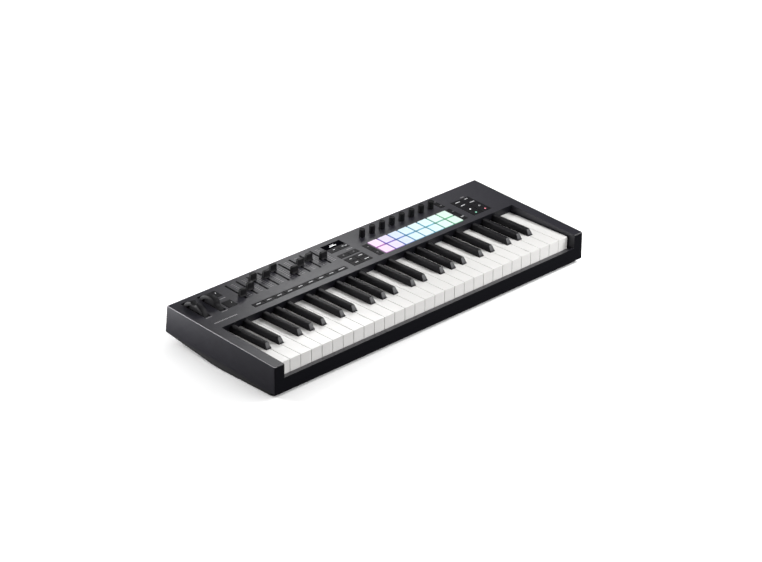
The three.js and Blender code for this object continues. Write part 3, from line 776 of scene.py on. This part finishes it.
def dress_buttons():
    gap = BUTTON_GAP / 2
    crown = 0.06
    for body, tiles in TILES.items():
        for tile in tiles:
            for k, ((left, right), (rear, front)) in enumerate(tile_cells(tile)):
                bm = bmesh.new()
                soft_block(bm, (left + gap, right - gap), (-front + gap, -rear - gap),
                           (MAT_TOP, BUTTON_PROUD - crown), corner=0.7, edge=0.35, crown=crown)
                finish_piece(f"button_{tile[0]}_{k + 1}", bm, body, SILICONE, PANEL)
        low = [min(tile[k] for tile in tiles) for k in (1, 3)]
        high = [max(tile[k] for tile in tiles) for k in (2, 4)]
        bm = bmesh.new()
        soft_block(bm, (low[0] - MAT_RIM / 2, high[0] + MAT_RIM), (-high[1] - MAT_RIM, -low[1] + MAT_RIM),
                   (MAT_TOP - MAT_WEB, MAT_TOP))
        finish_piece(f"{body}_web", bm, body, SILICONE, PANEL, [body])


# ---- display and marks -----------------------------------------------------------------------------
INK = 0.05


def label(bm, x, back, width, height=1.5, top=0.0, letter=1.15, space=0.25):
    """A row of short upright bars centred at x, in place of a word."""
    count = max(1, round((width + space) / (letter + space)))
    pitch = width / count
    for k in range(count):
        left = x - width / 2 + pitch * k
        tall = height * (1 if k % 3 else 0.8) / 2
        slab(bm, (left, left + pitch - space), (-back - tall, -back + tall), (top - INK, top + INK),
             edge=0.03)


def dot(bm, x, back, r, top=0.0):
    disc(bm, [(r, top - INK), (r, top + INK * 0.6), (r - 0.05, top + INK)], 20, place=(x, -back, 0))


def dress_display():
    x0, x1, back, front = SCREEN
    rim = 0.25
    bm = bmesh.new()
    soft_block(bm, (x0 + rim, x1 - rim), (-front + rim, -back - rim), (-SCREEN_POCKET + 0.05, GLASS_TOP),
               corner=0.8, edge=0.25)
    finish_piece("display_glass", bm, "case", GLASS, PANEL)
    bm = bmesh.new()
    levels = (1.8, 2.8, 2.3, 3.1, 2.5, 2.9, 2.0, 2.6)
    first_x, pitch, bar, foot = -17, 2, 1.5, -22.4
    for i, level in enumerate(levels):
        x = first_x + pitch * i
        slab(bm, (x, x + bar), (foot, foot + level), (GLASS_TOP - 0.05, GLASS_TOP + 0.06), edge=0.05)
    label(bm, -9, 17.6, 9, 0.9, top=GLASS_TOP + 0.01)
    finish_piece("display_level_meter", bm, "case", LIT_WHITE, PANEL)


# small marks on the buttons: (kind, x, distance from the panel's back edge, size), by mat and ink
BUTTON_MARKS = {
    ("screen_buttons", "white"): [
        ("label", -17.6, 33.6, 4.5),
        ("label", 3.2, 33.4, 3.6),
        ("label", 9.4, 34.6, 5),
        ("label", 4.4, 76.4, 9.5),
        ("label", 5, 91.8, 10),
        ("label", -18.4, 76.3, 5),
        ("label", -17.8, 90.8, 7),
    ],
    ("screen_buttons", "grey"): [
        ("ring", -19, 59.2, 1.5),
        ("ring", 4.6, 59.5, 1.5),
        ("ring", 35.1, 63.5, 1.5),
        ("ring", 34.6, 87.5, 1.5),
    ],
    ("transport_buttons", "white"): [
        ("label", 296.5, 43.8, 7.5),
        ("label", 296.5, 58.6, 11.5),
        ("label", 273.8, 44.7, 11.5),
        ("label", 273.6, 58.4, 10),
        ("ring", 296.4, 77, 1.9),
        ("label", 242.4, 87.5, 6.5),
    ],
    ("transport_buttons", "grey"): [
        ("ring", 243.4, 17.5, 1.7),
        ("ring", 243.3, 33.3, 1.7),
        ("ring", 243.4, 64, 1.7),
    ],
    ("transport_buttons", "lit"): [("dot", 273.4, 76.8, 1.6)],
    ("transport_buttons", "green"): [("dot", 272.9, 91.7, 1.5)],
    ("transport_buttons", "red"): [("dot", 296, 91.7, 1.6)],
    ("wheel_buttons", "lit"): [
        ("dot", -274.5, 19.6, 0.8),
        ("dot", -274.5, 59.8, 0.6),
    ],
}


def dress_button_marks():
    inks = {"white": WHITE_INK, "grey": GREY_INK, "lit": LIT_WHITE, "green": LIT_GREEN, "red": LIT_RED}
    for (body, ink), marks in BUTTON_MARKS.items():
        bm = bmesh.new()
        for kind, x, back, size in marks:
            if kind == "label":
                label(bm, x, back, size, 2, BUTTON_PROUD)
            elif kind == "ring":
                tube(bm, (x, -back, BUTTON_PROUD), size, size - 0.6, (-INK, INK))
            else:
                dot(bm, x, back, size, BUTTON_PROUD)
        finish_piece(f"{body}_marks_{ink}", bm, body, inks[ink], PANEL)
    bm = bmesh.new()
    cells = list(tile_cells(TILES["row_buttons"][0]))
    for k, ((left, right), (rear, front)) in enumerate(cells):
        width = 14 if k == len(cells) - 1 else 9.5
        label(bm, (left + right) / 2, (rear + front) / 2, width, 1.8, BUTTON_PROUD)
    finish_piece("row_button_labels", bm, "row_buttons", WHITE_INK, PANEL)


def dress_panel_marks():
    bm = bmesh.new()
    ticks, first_tick, tick_pitch, tick_length, tick_half = 11, 15, 4.6, 7, 0.3
    printed_zs = (-0.02, INK)
    for i in range(len(FADER_BACKS)):
        left = FADER_X + COLUMN * i + 8.5
        for k in range(ticks):
            y = -(first_tick + tick_pitch * k)
            slab(bm, (left, left + tick_length), (y - tick_half, y + tick_half), printed_zs, edge=0.03)
    finish_piece("fader_scales", bm, "case", LABEL_INK, PANEL)

    bm = bmesh.new()
    for x in WHEEL_X.values():
        slab(bm, (x - 6.5, x + 6.5), (-74.9, -73.7), printed_zs, edge=0.03)
    label(bm, -277, 40, 13)
    label(bm, 6, 47.2, 13)
    label(bm, 295, 34.8, 8)
    finish_piece("panel_labels", bm, "case", LABEL_INK, PANEL)
    bm = bmesh.new()
    label(bm, -318, 95.6, 50, 2.6, letter=2.6, space=0.9)
    finish_piece("panel_bar_strip", bm, "case", LABEL_INK, PANEL)


# ---- under and behind ------------------------------------------------------------------------------
def underside(y):
    """Height of the tray's underside, which is flat in front and rises to the back."""
    return FLAT_UNDERSIDE + max(0, y - RISE_FROM) * RISE_SLOPE


def dress_underside():
    screw_head = [(2.2, 1.3), (3, 0.7), (3, 0.35), (2.7, 0.1), (1.2, 0.1), (0.9, 0.7), (0.3, 0.8)]
    for n, (x, y) in enumerate((x, y) for x in SCREW_XS for y in SCREW_YS):
        bm = bmesh.new()
        disc(bm, screw_head, 24, place=(x, y, underside(y)))
        finish_piece(f"case_screw_{n + 1}", bm, "case", SCREW)


# ---- inside ----------------------------------------------------------------------------------------
BOARD_TOP = -10.2
BOARD_THICK = 1.5
PLATE_TOP = 24


def dress_control_board():
    """The board under the panel, with the bodies of the faders and encoders and the display on it."""
    bm = bmesh.new()
    slab(bm, (-284, 350), (-104, -6), (BOARD_TOP - BOARD_THICK, BOARD_TOP), edge=0.2)
    finish_piece("control_board", bm, "case", BOARD, PANEL)
    for i in range(len(FADER_BACKS)):
        dress_fader_body(i + 1, FADER_X + COLUMN * i)
    for i in range(ENCODERS):
        place = (ENCODER_X + COLUMN * i, -ENCODER_BACK, 0)
        bm = bmesh.new()
        tube(bm, place, 5.8, 3.3, (-8.4, -2.8))
        disc(bm, [(5.6, BOARD_TOP + 0.05), (5.8, -9.9), (5.8, -8.6), (5.6, -8.45)], place=place)
        finish_piece(f"encoder_body_{i + 1}", bm, "case", STEEL, PANEL)
    bm = bmesh.new()
    x0, x1, back, front = SCREEN
    soft_block(bm, (x0 + 1, x1 - 1), (-front + 1, -back - 1), (-5.6, -2.7), corner=0.6)
    finish_piece("display_module", bm, "case", STEEL, PANEL)


def dress_fader_body(number, x):
    """A fader's track under its slot, and thin black strips along the slot's edges, painted shade that makes
    the slot read darker and wider.
    """
    rear, front = -FADER_SLOT[0], -FADER_SLOT[1]
    ys = (front - 3, rear + 3)
    track_gap, track_half = 1.1, 4.6
    bm = bmesh.new()
    soft_block(bm, (x - track_half, x - track_gap), ys, (-9.3, -2.8), corner=0.3, edge=0.3)
    soft_block(bm, (x + track_gap, x + track_half), ys, (-9.3, -2.8), corner=0.3, edge=0.3)
    soft_block(bm, (x - track_half, x + track_half), ys, (BOARD_TOP + 0.05, -9.35), corner=0.3, edge=0.2)
    finish_piece(f"fader_body_{number}", bm, "case", CHASSIS, PANEL)
    # painted shade: flat near-black strips over both edges of the slot
    shade_gap, shade_half, shade_beyond = 0.85, 1.85, 0.4
    ys = (front - shade_beyond, rear + shade_beyond)
    bm = bmesh.new()
    slab(bm, (x - shade_half, x - shade_gap), ys, (0.005, 0.06), edge=0.02)
    slab(bm, (x + shade_gap, x + shade_half), ys, (0.005, 0.06), edge=0.02)
    finish_piece(f"fader_slot_painted_shade_{number}", bm, "case", SLOT_PAINTED_SHADE, PANEL)


def dress_wheel_sensors():
    """A turning sensor at the free end of each wheel's axle."""
    profile = [(6.4, 10.4), (7, 10.9), (7, 13.8), (6.4, 14.3)]
    mirrored = [(r, -h) for r, h in reversed(profile)]
    for body, section in (("pitch_wheel", mirrored), ("mod_wheel", profile)):
        bm = bmesh.new()
        disc(bm, section, 28, "x")
        place = PANEL @ Matrix.Translation((WHEEL_X[body], -WHEEL_BACK, -WHEEL_DROP))
        finish_piece(f"{body}_sensor", bm, "case", STEEL, place)


def dress_key_bed():
    """The contact board on the key frame with its rubber dome strips, and the felt that stops the keys."""
    half = 338
    board_top = PLATE_TOP + BOARD_THICK
    bm = bmesh.new()
    slab(bm, (-half, half), (-91, -65), (PLATE_TOP, board_top), edge=0.2)
    finish_piece("key_contact_board", bm, "case", BOARD)
    strips = 4
    wide = 2 * half / strips
    domes = round(wide / PITCH)
    dome = [(3.4, PLATE_TOP + 2), (2.6, PLATE_TOP + 3.2), (2.2, PLATE_TOP + 3.4)]
    for n in range(strips):
        left = -half + wide * n
        bm = bmesh.new()
        soft_block(bm, (left + 0.5, left + wide - 0.5), (-82, -72), (board_top, board_top + 0.8), edge=0.3)
        for k in range(domes):
            disc(bm, dome, 16, place=(left + (k + 0.5) * wide / domes, -77, 0))
        finish_piece(f"contact_strip_{n + 1}", bm, "case", RUBBER)
    bm = bmesh.new()
    soft_block(bm, (-half, half), (-113, -104.5), (PLATE_TOP, PLATE_TOP + 1.9), corner=0.5, edge=0.5)
    finish_piece("key_stop_felt", bm, "case", FELT)


# ---- sockets ---------------------------------------------------------------------------------------
SOCKETS = {"lock": (-338, 22), "usb": (330, 22), "midi": (262, 24), "pedal": (296, 24)}


def socket_place(name):
    """Where a socket's opening meets the outer face of the leaning back wall."""
    x, up = SOCKETS[name]
    z = SKIRT_BACK + up
    return x, BACK + (HEEL - BACK) * (TOP_BACK - z) / SKIRT, z


def dress_midi_socket():
    """A round 5-pin socket: its body, its rim and its contacts in a half circle."""
    x, y, z = socket_place("midi")
    sunk = 1.4
    bm = bmesh.new()
    disc(bm, [(7.5, 1.4), (7.5, 14), (6.9, 14.6)], 32, "y", (x, y - 16, z))
    tube(bm, (x, y - sunk, z), 7.5, 6.6, (0, 0.8), "y", 32)
    finish_piece("midi_socket", bm, "case", CHASSIS)
    circle = 4.6
    bm = bmesh.new()
    for k in range(5):
        turn = math.radians(45 * k)
        place = (x + circle * math.cos(turn), y - sunk, z - circle * math.sin(turn))
        tube(bm, place, 0.9, 0.55, (0, 0.35), "y", 14)
    finish_piece("midi_contacts", bm, "case", STEEL)


def dress_usb_socket():
    """A USB shell of four thin walls round a tongue, closed at its inner end."""
    x, y, z = socket_place("usb")
    walls = (((-4.4, 4.4), (1.1, 1.5)), ((-4.4, 4.4), (-1.5, -1.1)), ((-4.4, -4), (-1.05, 1.05)),
             ((4, 4.4), (-1.05, 1.05)))
    tongue = ((-3.2, 3.2), (-0.35, 0.35))
    bm = bmesh.new()
    for (x0, x1), (z0, z1) in (*walls, tongue):
        slab(bm, (x + x0, x + x1), (y - 8, y - 0.9), (z + z0, z + z1), edge=0.12)
    slab(bm, (x - 4.4, x + 4.4), (y - 9, y - 8), (z - 1.5, z + 1.5), edge=0.12)
    finish_piece("usb_socket", bm, "case", STEEL)


def dress_sockets():
    dress_midi_socket()
    x, y, z = socket_place("pedal")
    bm = bmesh.new()
    tube(bm, (x, y - 15, z), 4.4, 3.2, (0, 14.4), "y", 28)
    finish_piece("pedal_jack", bm, "case", STEEL)
    dress_usb_socket()
    x, y, z = socket_place("lock")
    bm = bmesh.new()
    slab(bm, (x - 6, x + 6), (y - 5.2, y - 4), (z - 5, z + 5), edge=0.2)
    finish_piece("lock_plate", bm, "case", STEEL)
    bm = bmesh.new()
    slab(bm, (248, 345), (112, 112 + BOARD_THICK), (30, 58), edge=0.2)
    finish_piece("socket_board", bm, "case", BOARD)


# ---- stage, light and camera -----------------------------------------------------------------------
def floor():
    """A pale floor that glows, so that it reads white, and glows more towards the far floor; ambient
    occlusion dims the glow where something stands close over it, a painted contact shadow.
    """
    reach = 6
    mesh = bpy.data.meshes.new("floor")
    bm = bmesh.new()
    bm.faces.new([bm.verts.new((x * reach, y * reach, 0)) for x, y in ((-1, -1), (1, -1), (1, 1), (-1, 1))])
    bm.to_mesh(mesh)
    bm.free()
    material, tree, principled, add = shader("pale_floor")
    noise = add("ShaderNodeTexNoise", Scale=3.0)
    tree.links.new(ranged(add, noise.outputs["Fac"], 0.85, 0.95), principled.inputs["Roughness"])
    principled.inputs["Base Color"].default_value = grey(0.92)
    principled.inputs["Specular IOR Level"].default_value = 0.0
    principled.inputs["Emission Color"].default_value = grey(1)
    # painted contact shadow: ambient occlusion darkens the floor's glow under and beside the keyboard
    corner = add("ShaderNodeAmbientOcclusion", Distance=0.05)
    away = add("ShaderNodeVectorMath", {"operation": "LENGTH"})
    tree.links.new(add("ShaderNodeNewGeometry").outputs["Position"], away.inputs[0])
    brightness = ranged(add, away.outputs["Value"], 0.42, 1.0, 0.6, 1.3)
    glow = add("ShaderNodeMath", {"operation": "MULTIPLY"})
    tree.links.new(corner.outputs["AO"], glow.inputs[0])
    tree.links.new(brightness, glow.inputs[1])
    tree.links.new(glow.outputs[0], principled.inputs["Emission Strength"])
    ray = add("ShaderNodeLightPath")
    seen_by_object = add("ShaderNodeBsdfDiffuse", Color=grey(0.10))
    mix = add("ShaderNodeMixShader")
    tree.links.new(ray.outputs["Is Camera Ray"], mix.inputs[0])
    tree.links.new(seen_by_object.outputs[0], mix.inputs[1])
    tree.links.new(principled.outputs[0], mix.inputs[2])
    tree.links.new(mix.outputs[0], tree.nodes["Material Output"].inputs["Surface"])
    mesh.materials.append(material)
    ground = bpy.data.objects.new("floor", mesh)
    bpy.context.scene.collection.objects.link(ground)


def softbox(name, place, target, size, watts):
    """A rectangular studio light at place, in metres, facing target."""
    light = bpy.data.lights.new(name, "AREA")
    light.shape = "RECTANGLE"
    light.size, light.size_y = size
    light.energy = watts
    lamp = bpy.data.objects.new(name, light)
    lamp.location = place
    lamp.rotation_mode = "QUATERNION"
    lamp.rotation_quaternion = (Vector(target) - Vector(place)).to_track_quat("-Z", "Y")
    lamp.visible_camera = False
    bpy.context.scene.collection.objects.link(lamp)


def studio():
    """A white surround that only the camera sees, a faint fill, and the lights."""
    world = bpy.data.worlds.new("studio")
    bpy.context.scene.world = world
    world.use_nodes = True
    tree = world.node_tree
    tree.nodes.clear()
    add = adder(tree)
    mix = add("ShaderNodeMixShader")
    tree.links.new(add("ShaderNodeLightPath").outputs["Is Camera Ray"], mix.inputs[0])
    tree.links.new(add("ShaderNodeBackground", Color=grey(1), Strength=0.02).outputs[0], mix.inputs[1])
    tree.links.new(add("ShaderNodeBackground", Color=grey(1)).outputs[0], mix.inputs[2])
    tree.links.new(mix.outputs[0], add("ShaderNodeOutputWorld").inputs["Surface"])

    # name, place, target, size in metres, watts
    softbox("near_sheen_box", (0.25, 0.37, 0.47), (-0.06, 0.04, 0.067), (0.26, 0.2), 0.95)
    softbox("far_sheen_box", (0.72, 0.73, 0.67), (0.05, 0.05, 0.067), (0.6, 0.4), 0.64)
    softbox("key_box", (1.0, -0.72, 1.03), (0, -0.1, 0.05), (0.5, 0.5), 20)
    softbox("rim_box", (-0.81, 0.64, 0.68), (-0.36, 0, 0.06), (0.35, 0.35), 3)
    softbox("front_left_box", (-0.6, -1.8, 0.9), (0, 0, 0.05), (1.4, 1.0), 8.7)
    softbox("front_right_box", (0.7, -1.8, 0.9), (0, 0, 0.05), (1.4, 1.0), 19)
    softbox("side_bounce", (-0.75, 0.62, 0.012), (-0.75, 0.62, 1), (0.6, 0.6), 30)
    softbox("side_bounce_near", (-0.62, 0.4, 0.012), (-0.62, 0.4, 1), (0.3, 0.4), 1)
    softbox("left_box", (-0.8, 1.0, 0.2), (-0.36, 0.1, 0.04), (0.4, 0.3), 17.9)


# the camera: angles in degrees, target and distance in metres, lens in millimetres
CAMERA = {"azimuth": -44.236, "elevation": 26.511, "roll": 0.271, "target": (0.0552, 0.0539, 0),
          "distance": 4.803, "lens": 130.82}


def camera():
    a, e, roll = (math.radians(CAMERA[k]) for k in ("azimuth", "elevation", "roll"))
    back = Vector((math.sin(a) * math.cos(e), -math.cos(a) * math.cos(e), math.sin(e)))
    level = Vector((math.cos(a), math.sin(a), 0))
    upright = back.cross(level)
    right = level * math.cos(roll) + upright * math.sin(roll)
    up = upright * math.cos(roll) - level * math.sin(roll)
    data = bpy.data.cameras.new("camera")
    data.lens = CAMERA["lens"]
    data.clip_end = 50
    eye = bpy.data.objects.new("camera", data)
    turn = Matrix((right, up, back)).transposed().to_4x4()
    eye.matrix_world = Matrix.Translation(Vector(CAMERA["target"]) + back * CAMERA["distance"]) @ turn
    bpy.context.scene.collection.objects.link(eye)
    bpy.context.scene.camera = eye
    bpy.context.scene.view_settings.view_transform = "Standard"


dress_case()
dress_naturals()
dress_sharps()
dress_faders()
dress_encoders()
dress_wheels()
dress_pads()
dress_buttons()
dress_display()
dress_button_marks()
dress_panel_marks()
dress_underside()
dress_control_board()
dress_wheel_sensors()
dress_key_bed()
dress_sockets()
floor()
studio()
camera()
